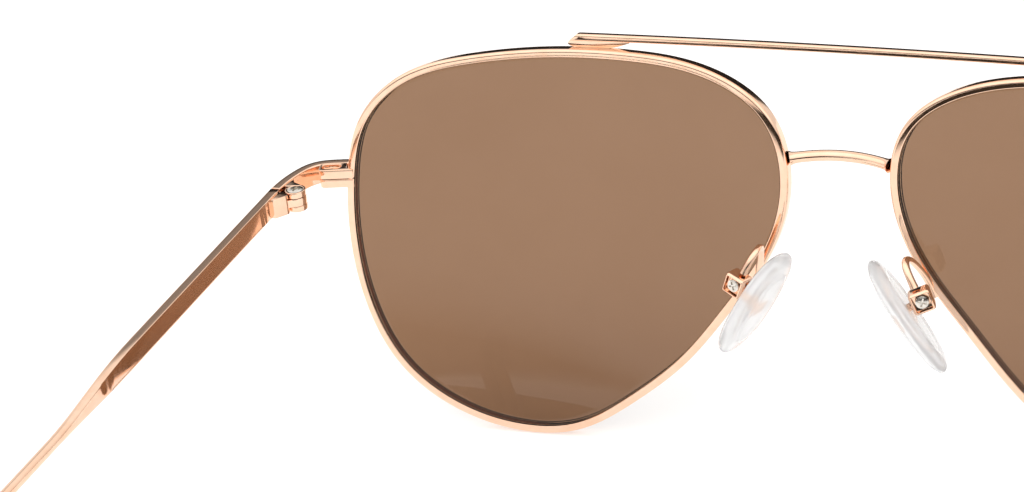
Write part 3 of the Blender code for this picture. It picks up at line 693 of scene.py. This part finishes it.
def make_pad_boxes(gold):
    """The pad boxes: rounded blocks, slotted towards the nose, with a square pocket for the screw."""
    half = BOX_SIZE / 2
    solid = softened(block(-half, half), 0.42, 4)
    slot = block((-half.x - 1, -0.5, -1.1), (0.95, 0.5, 1.1))
    pocket_plan = box_outline(2.1, 2.1, 0.2, 4)
    pocket = turned(prism(pocket_plan, -0.65, 1.0), Matrix.Translation((0, half.y, 0)) @ Matrix.Rotation(
        math.radians(-90), 4, "X"))
    solid = softened(carve(solid, [slot, pocket]), 0.05, 2, 50)
    solid = turned(solid, Matrix.Rotation(BOX_TURN, 4, "Y"))
    add_pair("pad_box_block", solid, "pad", "front", ["pad_box"], gold)


# ---------------------------------------------------------------- node trees for repeated and drawn pieces

def fill(tree, node, key, value):
    """Link an output to a node's input, or set the input's own value."""
    target = node.inputs[key]
    if isinstance(value, bpy.types.NodeSocket):
        tree.links.new(value, target)
    else:
        target.default_value = value


def add_node(tree, kind, inputs=None, **settings):
    """Add a node, set its properties, and fill its inputs from values or other nodes' outputs."""
    node = tree.nodes.new(kind)
    for key, value in settings.items():
        setattr(node, key, value)
    for key, value in (inputs or {}).items():
        fill(tree, node, key, value)
    return node


def maths(tree, operation, *values, clamp=False):
    """The output of one maths node."""
    node = add_node(tree, "ShaderNodeMath", dict(enumerate(values)), operation=operation, use_clamp=clamp)
    return node.outputs[0]


def ramp(tree, value, low, high):
    """0 at the low value rising to 1 at the high one."""
    return add_node(tree, "ShaderNodeMapRange", {"Value": value, "From Min": low, "From Max": high}).outputs[0]


def blend_colours(tree, share, first, second):
    """From the first colour to the second by a share."""
    # A mix node has one share, one first and one second input for each kind of data; these are the colours'.
    mix = add_node(tree, "ShaderNodeMix", data_type="RGBA")
    for index, value in ((0, share), (6, first), (7, second)):
        fill(tree, mix, index, value)
    return mix.outputs[2]


def new_group(name, kind, given, results):
    """A node group with its named inputs, each a kind and a default, and its named results."""
    tree = bpy.data.node_groups.new(name, kind)
    for key, (socket, default) in given.items():
        made = tree.interface.new_socket(name=key, in_out="INPUT", socket_type="NodeSocket" + socket)
        if default is not None:
            made.default_value = default
    for key, socket in results.items():
        tree.interface.new_socket(name=key, in_out="OUTPUT", socket_type="NodeSocket" + socket)
    return tree, add_node(tree, "NodeGroupInput").outputs


def finish_tree(tree, geometry, metal, result):
    """End a geometry tree: realize its instances, set its material and give the result."""
    real = add_node(tree, "GeometryNodeRealizeInstances", {"Geometry": geometry}).outputs["Geometry"]
    coated = add_node(tree, "GeometryNodeSetMaterial", {"Geometry": real, "Material": metal})
    add_node(tree, "NodeGroupOutput", {result: coated.outputs["Geometry"]})
    return tree


def wire_tree():
    """Geometry nodes that draw a wire of an oval section along a chain of edges."""
    tree, given = new_group(
        "drawn_wire", "GeometryNodeTree",
        {"Path": ("Geometry", None), "Radius": ("Float", 0.5), "Flatness": ("Float", 1.0),
         "Metal": ("Material", None)}, {"Wire": "Geometry"})
    girth = add_node(tree, "GeometryNodeInputNamedAttribute", {"Name": "girth"}, data_type="FLOAT")
    path = add_node(tree, "GeometryNodeMeshToCurve", {"Mesh": given["Path"]}).outputs["Curve"]
    path = add_node(tree, "GeometryNodeSetCurveNormal", {"Curve": path}, mode="MINIMUM_TWIST").outputs["Curve"]
    circle = add_node(tree, "GeometryNodeCurvePrimitiveCircle",
                      {"Resolution": WIRE_SIDES, "Radius": given["Radius"]}).outputs["Curve"]
    flatness = add_node(tree, "ShaderNodeCombineXYZ", {"X": 1.0, "Y": given["Flatness"], "Z": 1.0})
    oval = add_node(tree, "GeometryNodeTransform", {"Geometry": circle, "Scale": flatness.outputs["Vector"]})
    wire = add_node(tree, "GeometryNodeCurveToMesh", {
        "Curve": path, "Profile Curve": oval.outputs["Geometry"], "Scale": girth.outputs["Attribute"],
        "Fill Caps": True})
    return finish_tree(tree, wire.outputs["Mesh"], given["Metal"], "Wire")


def screw_tree():
    """Geometry nodes that set a domed screw with a cross recess on every point, facing its own way."""
    tree, given = new_group(
        "cross_screws", "GeometryNodeTree",
        {"Places": ("Geometry", None), "Head Radius": ("Float", 1.0), "Head Height": ("Float", 0.35),
         "Dome": ("Float", 0.12), "Recess Width": ("Float", 0.3), "Recess Depth": ("Float", 0.28),
         "Metal": ("Material", None)}, {"Screws": "Geometry"})
    head = add_node(tree, "GeometryNodeMeshCylinder", {
        "Vertices": 48, "Side Segments": 2, "Fill Segments": 6, "Radius": given["Head Radius"],
        "Depth": given["Head Height"]}, fill_type="TRIANGLE_FAN").outputs["Mesh"]
    position = add_node(tree, "GeometryNodeInputPosition").outputs[0]
    place = add_node(tree, "ShaderNodeSeparateXYZ", {"Vector": position}).outputs
    squares = [maths(tree, "POWER", place[axis], 2.0) for axis in "XY"]
    part = maths(tree, "DIVIDE", maths(tree, "SQRT", maths(tree, "ADD", *squares)), given["Head Radius"])
    fall = maths(tree, "SUBTRACT", DOME_RISE, maths(tree, "POWER", part, DOME_POWER))
    dome = maths(tree, "MULTIPLY", given["Dome"], fall)
    top = maths(tree, "GREATER_THAN", place["Z"], 0.0)
    lift = add_node(tree, "ShaderNodeCombineXYZ", {"Z": maths(tree, "MULTIPLY", dome, top)}).outputs["Vector"]
    head = add_node(tree, "GeometryNodeSetPosition", {"Geometry": head, "Offset": lift}).outputs["Geometry"]
    long_side = maths(tree, "MULTIPLY", given["Head Radius"], RECESS_SPAN)
    height = maths(tree, "MULTIPLY", given["Recess Depth"], 2.0)
    raised = maths(tree, "MULTIPLY", given["Head Height"], RECESS_RISE)
    above = add_node(tree, "ShaderNodeCombineXYZ", {"Z": raised}).outputs["Vector"]
    for width, length in ((given["Recess Width"], long_side), (long_side, given["Recess Width"])):
        size = add_node(tree, "ShaderNodeCombineXYZ", {"X": width, "Y": length, "Z": height}).outputs["Vector"]
        bar = add_node(tree, "GeometryNodeMeshCube", {"Size": size}).outputs["Mesh"]
        bar = add_node(tree, "GeometryNodeTransform", {"Geometry": bar, "Translation": above})
        head = add_node(tree, "GeometryNodeMeshBoolean", {"Mesh 1": head, "Mesh 2": bar.outputs["Geometry"]},
                        operation="DIFFERENCE", solver="EXACT").outputs["Mesh"]
    facing = add_node(tree, "GeometryNodeInputNamedAttribute", {"Name": "facing"}, data_type="FLOAT_VECTOR")
    size = add_node(tree, "GeometryNodeInputNamedAttribute", {"Name": "size"}, data_type="FLOAT")
    turn = add_node(tree, "FunctionNodeAlignRotationToVector",
                    {"Vector": facing.outputs["Attribute"]}, axis="Z")
    points = add_node(tree, "GeometryNodeMeshToPoints", {"Mesh": given["Places"]}).outputs["Points"]
    heads = add_node(tree, "GeometryNodeInstanceOnPoints", {
        "Points": points, "Instance": head, "Rotation": turn.outputs["Rotation"],
        "Scale": size.outputs["Attribute"]})
    return finish_tree(tree, heads.outputs["Instances"], given["Metal"], "Screws")


TREES = {}


def run_tree(obj, name, build, values):
    """Run a geometry node tree on an object with named input values, and return the plain mesh."""
    if name not in TREES:
        TREES[name] = build()
    tree = TREES[name]
    modifier = obj.modifiers.new(name, "NODES")
    modifier.node_group = tree
    sockets = {item.name: item.identifier for item in tree.interface.items_tree if item.in_out == "INPUT"}
    for key, value in values.items():
        modifier[sockets[key]] = value
    return evaluated(obj)


def drawn_wire(name, points, radius, flatness, girths, metal):
    """A wire along points, as a shell in its part's frame."""
    line = bpy.data.meshes.new(name + "_path")
    line.from_pydata(points, [(index, index + 1) for index in range(len(points) - 1)], [])
    line.attributes.new("girth", "FLOAT", "POINT").data.foreach_set("value", girths)
    path = bpy.data.objects.new(name + "_path", line)
    bpy.context.scene.collection.objects.link(path)
    mesh = run_tree(path, "drawn_wire", wire_tree, {"Radius": radius, "Flatness": flatness, "Metal": metal})
    shell = bmesh.new()
    shell.from_mesh(mesh)
    bmesh.ops.remove_doubles(shell, verts=shell.verts, dist=0.0005)
    bmesh.ops.recalc_face_normals(shell, faces=shell.faces)
    bpy.data.meshes.remove(mesh)
    return shell


def make_screws(steel):
    """All six visible screws of the front, set on their points."""
    hinge, lock, pad = FRAMES["hinge"], FRAMES["lock"], FRAMES["pad"]
    seats = [
        (hinge @ Vector((0, 0, BARREL_TOP - 0.12)), hinge.to_3x3() @ Vector((0, 0, 1)), 1.02),
        (lock @ Vector((LOCK_SCREW_X, 0, LOCK_HIGH.z - 0.3)), lock.to_3x3() @ Vector((0, 0, 1)), 0.56),
        (pad @ Vector((0, BOX_SIZE.y / 2 - 0.34, 0)), pad.to_3x3() @ Vector((0, 1, 0)), 0.8),
    ]
    seats += [(Vector((-p.x, p.y, p.z)), Vector((-n.x, n.y, n.z)), size) for p, n, size in seats]
    mesh = bpy.data.meshes.new("screw_places")
    mesh.from_pydata([place for place, _, _ in seats], [], [])
    facing = mesh.attributes.new("facing", "FLOAT_VECTOR", "POINT")
    facing.data.foreach_set("vector", [value for _, normal, _ in seats for value in normal.normalized()])
    mesh.attributes.new("size", "FLOAT", "POINT").data.foreach_set("value", [size * MM for _, _, size in seats])
    places = bpy.data.objects.new("screw_places", mesh)
    bpy.context.scene.collection.objects.link(places)
    heads = run_tree(places, "cross_screws", screw_tree, {"Metal": steel})
    kinds = ("hinge_screw", "rim_lock_screw", "pad_screw")
    nodes = ["%s_%s" % (kind, side) for kind in kinds for side in SIDES]
    add_piece("cross_recess_screws", heads, "front", nodes, steel)


# ---------------------------------------------------------------- materials

def polish_marks():
    """Shader group: faint handling marks, cloudiness and hairlines over any polished surface."""
    tree, given = new_group(
        "polish_marks", "ShaderNodeTree",
        {"Colour": ("Color", (0.8, 0.8, 0.8, 1)), "Deep Colour": ("Color", (0.6, 0.6, 0.6, 1)),
         "Cloud Size": ("Float", 300.0), "Hairlines": ("Float", 0.5), "Roughness Low": ("Float", 0.08),
         "Roughness High": ("Float", 0.2)}, {"Colour": "Color", "Roughness": "Float", "Height": "Float"})
    where = add_node(tree, "ShaderNodeTexCoord").outputs["Object"]
    cloud = add_node(tree, "ShaderNodeTexNoise", {"Vector": where, "Scale": given["Cloud Size"], "Detail": 5.0,
                                                  "Roughness": 0.6}).outputs["Fac"]
    along_polish = add_node(tree, "ShaderNodeMapping", {
        "Vector": where, "Rotation": HAIRLINE_TURN, "Scale": HAIRLINE_STRETCH}).outputs["Vector"]
    lines = add_node(tree, "ShaderNodeTexNoise", {"Vector": along_polish, "Scale": 1.0, "Detail": 2.0})
    hair = maths(tree, "MULTIPLY", ramp(tree, lines.outputs["Fac"], 0.62, 0.8), given["Hairlines"])
    soft = ramp(tree, cloud, 0.35, 0.7)
    rough = add_node(tree, "ShaderNodeMapRange", {
        "Value": maths(tree, "MAXIMUM", soft, hair), "To Min": given["Roughness Low"],
        "To Max": given["Roughness High"]}).outputs["Result"]
    add_node(tree, "NodeGroupOutput", {
        "Colour": blend_colours(tree, soft, given["Colour"], given["Deep Colour"]), "Roughness": rough,
        "Height": maths(tree, "SUBTRACT", cloud, hair)})
    return tree


def finish_material(name, marks, bump, **settings):
    """A Principled material with polish marks in its colour, roughness and relief, and its tree's parts."""
    material = bpy.data.materials.new(name)
    material.use_nodes = True
    tree = material.node_tree
    shader = tree.nodes["Principled BSDF"]
    for key, value in settings.items():
        shader.inputs[key.replace("_", " ").title().replace("Ior", "IOR")].default_value = value
    group = add_node(tree, "ShaderNodeGroup", node_tree=TREES["polish_marks"])
    for key, value in marks.items():
        group.inputs[key].default_value = value
    relief = add_node(tree, "ShaderNodeBump", {"Strength": bump, "Distance": RELIEF_DEPTH,
                                               "Height": group.outputs["Height"]})
    fill(tree, shader, "Base Color", group.outputs["Colour"])
    fill(tree, shader, "Roughness", group.outputs["Roughness"])
    fill(tree, shader, "Normal", relief.outputs["Normal"])
    return material, tree, shader, group


def rose_gold():
    """Polished rose gold plating."""
    marks = {"Colour": (0.955, 0.665, 0.495, 1), "Deep Colour": (0.93, 0.60, 0.42, 1), "Cloud Size": 420.0,
             "Hairlines": 0.35, "Roughness Low": 0.06, "Roughness High": 0.14}
    return finish_material("polished_rose_gold", marks, 0.08, metallic=1.0)[0]


def screw_steel():
    """Bright screw heads."""
    marks = {"Colour": (0.84, 0.80, 0.74, 1), "Deep Colour": (0.62, 0.58, 0.52, 1), "Cloud Size": 1500.0,
             "Hairlines": 0.8, "Roughness Low": 0.14, "Roughness High": 0.3}
    return finish_material("bright_screw_steel", marks, 0.3, metallic=1.0)[0]


def lens_tint():
    """Brown tinted lens, with painted shade that makes it a little darker towards the bottom."""
    marks = {"Colour": (0.282, 0.161, 0.094, 1), "Deep Colour": (0.27, 0.152, 0.087, 1), "Cloud Size": 60.0,
             "Hairlines": 0.05, "Roughness Low": 0.0, "Roughness High": 0.012}
    material, tree, shader, group = finish_material("brown_tinted_lens", marks, 0.0, ior=1.32,
                                                    transmission_weight=1.0)
    where = add_node(tree, "ShaderNodeTexCoord").outputs["Object"]
    height = add_node(tree, "ShaderNodeSeparateXYZ", {"Vector": where}).outputs["Z"]
    # Painted shade: the lens colour goes to a darker brown towards its bottom, standing in for the contact
    # shadow seen through it
    out_of_shade = ramp(tree, height, 0.0, LENS_SHADE_HEIGHT)
    tint = blend_colours(tree, out_of_shade, (0.25, 0.138, 0.079, 1), group.outputs["Colour"])
    fill(tree, shader, "Base Color", tint)
    return material


def lens_edge():
    """The ground edge of the lens in its groove."""
    marks = {"Colour": (0.92, 0.72, 0.55, 1), "Deep Colour": (0.75, 0.52, 0.38, 1), "Cloud Size": 900.0,
             "Hairlines": 0.6, "Roughness Low": 0.35, "Roughness High": 0.6}
    return finish_material("ground_lens_edge", marks, 0.2)[0]


def clear_silicone():
    """Clear, slightly milky silicone."""
    marks = {"Colour": (0.98, 0.98, 0.985, 1), "Deep Colour": (0.95, 0.95, 0.96, 1), "Cloud Size": 500.0,
             "Hairlines": 0.1, "Roughness Low": 0.02, "Roughness High": 0.07}
    return finish_material("clear_silicone", marks, 0.1, ior=1.36, transmission_weight=0.6)[0]


def brown_acetate():
    """Dark tortoise acetate: honey patches in dark brown."""
    marks = {"Colour": (0.045, 0.017, 0.009, 1), "Deep Colour": (0.09, 0.035, 0.016, 1), "Cloud Size": 260.0,
             "Hairlines": 0.15, "Roughness Low": 0.08, "Roughness High": 0.2}
    material, tree, shader, group = finish_material("tortoise_acetate", marks, 0.05, coat_weight=0.4)
    where = add_node(tree, "ShaderNodeTexCoord").outputs["Object"]
    stretched = add_node(tree, "ShaderNodeMapping", {"Vector": where, "Scale": PATCH_STRETCH}).outputs["Vector"]
    patches = add_node(tree, "ShaderNodeTexNoise", {"Vector": stretched, "Scale": 1.0, "Detail": 3.0,
                                                    "Distortion": 1.2}).outputs["Fac"]
    honey = ramp(tree, patches, 0.52, 0.68)
    fill(tree, shader, "Base Color", blend_colours(tree, honey, group.outputs["Colour"], (0.36, 0.15, 0.05, 1)))
    return material


# ---------------------------------------------------------------- stage

def make_floor():
    """A plain pale floor, bright enough to stay white. Mirrored in metal it darkens behind the glasses."""
    half = FLOOR_HALF
    mesh = bpy.data.meshes.new("floor")
    mesh.from_pydata([(-half, -half, 0), (half, -half, 0), (half, half, 0), (-half, half, 0)], [],
                     [(0, 1, 2, 3)])
    floor = bpy.data.objects.new("floor", mesh)
    bpy.context.scene.collection.objects.link(floor)
    paper = bpy.data.materials.new("white_paper")
    paper.use_nodes = True
    tree = paper.node_tree
    where = add_node(tree, "ShaderNodeTexCoord").outputs["Object"]
    place = add_node(tree, "ShaderNodeSeparateXYZ", {"Vector": where}).outputs
    behind = ramp(tree, place["Y"], *SHADE_BEHIND)
    beside = ramp(tree, place["X"], *SHADE_BESIDE)
    path = add_node(tree, "ShaderNodeLightPath").outputs
    bounced = maths(tree, "SUBTRACT", path["Is Glossy Ray"], path["Is Transmission Ray"], clamp=True)
    shaded = maths(tree, "MULTIPLY", maths(tree, "MULTIPLY", behind, beside), bounced)
    glow = add_node(tree, "ShaderNodeMapRange", {"Value": shaded, "To Min": FLOOR_GLOW, "To Max": 0.0})
    shader = tree.nodes["Principled BSDF"]
    for key, value in (("Roughness", 0.9), ("Specular IOR Level", 0.0), ("Emission Color", (1, 1, 1, 1)),
                       ("Emission Strength", glow.outputs["Result"]),
                       ("Base Color", blend_colours(tree, shaded, FLOOR_WHITE, FLOOR_SHADE))):
        fill(tree, shader, key, value)
    mesh.materials.append(paper)


def make_light():
    """Soft studio light from overhead, with a dark surround at the horizon that draws lines in the metal.

    A direction's x points to the wearer's left, y back along the temples and z up. The glasses' surfaces see
    a dark belt in front with a grey panel at its left end, a low dark belt behind, and a softbox behind.
    """
    world = bpy.data.worlds.new("studio")
    bpy.context.scene.world = world
    world.use_nodes = True
    tree = world.node_tree
    tree.nodes.clear()

    def above(value, start, slope):
        return maths(tree, "MULTIPLY", maths(tree, "SUBTRACT", value, start), slope, clamp=True)

    def below(value, end, slope):
        return maths(tree, "MULTIPLY", maths(tree, "SUBTRACT", end, value), slope, clamp=True)

    def product(first, second):
        return maths(tree, "MULTIPLY", first, second)

    def between(share, low, high):
        return maths(tree, "MULTIPLY_ADD", share, maths(tree, "SUBTRACT", high, low), low)

    direction = add_node(tree, "ShaderNodeTexCoord").outputs["Generated"]
    x, y, z = add_node(tree, "ShaderNodeSeparateXYZ", {"Vector": direction}).outputs
    open_ends = maths(tree, "MAXIMUM", above(x, FRONT_BELT_LEFT, SHARP_END),
                      below(x, FRONT_BELT_RIGHT, SHARP_END))
    front_dark = product(below(z, FRONT_BELT_TOP, BELT_EDGE), maths(tree, "SUBTRACT", 1.0, open_ends))
    back_dark = product(below(z, BACK_BELT_TOP, BELT_EDGE), below(x, BACK_BELT_LEFT, SOFT_END))
    behind = above(y, BEHIND_START, BEHIND_EDGE)
    dark = between(behind, front_dark, back_dark)
    grey = product(above(x, GREY_PANEL_RIGHT, GREY_END), above(z, GREY_PANEL_LOW, BELT_EDGE))
    shade = maths(tree, "MULTIPLY_ADD", grey, GREY_LEVEL, DARK_LEVEL)
    softbox = product(above(z, SOFTBOX_LOW, SOFT_END), behind)
    sky = maths(tree, "MULTIPLY_ADD", z, SKY_RISE, SKY_LEVEL)
    level = between(dark, maths(tree, "MULTIPLY_ADD", softbox, SOFTBOX_LEVEL, sky), shade)
    studio = add_node(tree, "ShaderNodeBackground", {"Color": (1, 0.99, 0.975, 1), "Strength": level})
    seen = add_node(tree, "ShaderNodeBackground", {"Color": (1, 1, 1, 1)})
    path = add_node(tree, "ShaderNodeLightPath").outputs
    direct = maths(tree, "MAXIMUM", path["Is Camera Ray"], path["Is Transmission Ray"])
    mix = add_node(tree, "ShaderNodeMixShader", {0: direct, 1: studio.outputs[0], 2: seen.outputs[0]})
    add_node(tree, "ShaderNodeOutputWorld", {"Surface": mix.outputs[0]})


def make_camera():
    """The camera stands behind and above the glasses, on the wearer's right."""
    level = math.cos(CAMERA_PITCH)
    back = Vector((-math.sin(CAMERA_YAW) * level, math.cos(CAMERA_YAW) * level, math.sin(CAMERA_PITCH)))
    right = (-back).cross(Vector((0, 0, 1))).normalized()
    up = right.cross(-back)
    turn = Matrix((math.cos(CAMERA_ROLL) * right + math.sin(CAMERA_ROLL) * up,
                   math.cos(CAMERA_ROLL) * up - math.sin(CAMERA_ROLL) * right, back)).transposed()
    place = FRAMES["front"] @ Matrix.Translation(CAMERA_AT) @ turn.to_4x4()
    data = bpy.data.cameras.new("camera")
    data.lens = CAMERA_LENS
    data.sensor_width = 36
    data.clip_start = 0.01
    data.clip_end = 20
    camera = bpy.data.objects.new("camera", data)
    bpy.context.scene.collection.objects.link(camera)
    location, rotation, _ = place.decompose()
    camera.location = location
    camera.rotation_mode = "QUATERNION"
    camera.rotation_quaternion = rotation
    bpy.context.scene.camera = camera


def main():
    """Make every piece, the floor, the light and the camera."""
    bpy.context.scene.view_settings.view_transform = "Standard"
    TREES["polish_marks"] = polish_marks()
    gold, steel, tint = rose_gold(), screw_steel(), lens_tint()
    silicone, acetate = clear_silicone(), brown_acetate()
    make_rims(gold)
    make_lenses(tint, lens_edge())
    make_brow_bar(gold)
    make_bridge_and_arms(gold)
    make_locks(gold)
    make_endpieces(gold)
    make_hinges(gold)
    make_temples(gold)
    make_temple_tips(acetate)
    make_nose_pads(silicone)
    make_pad_boxes(gold)
    make_screws(steel)
    make_pad_cores(gold)
    make_floor()
    make_light()
    make_camera()


main()
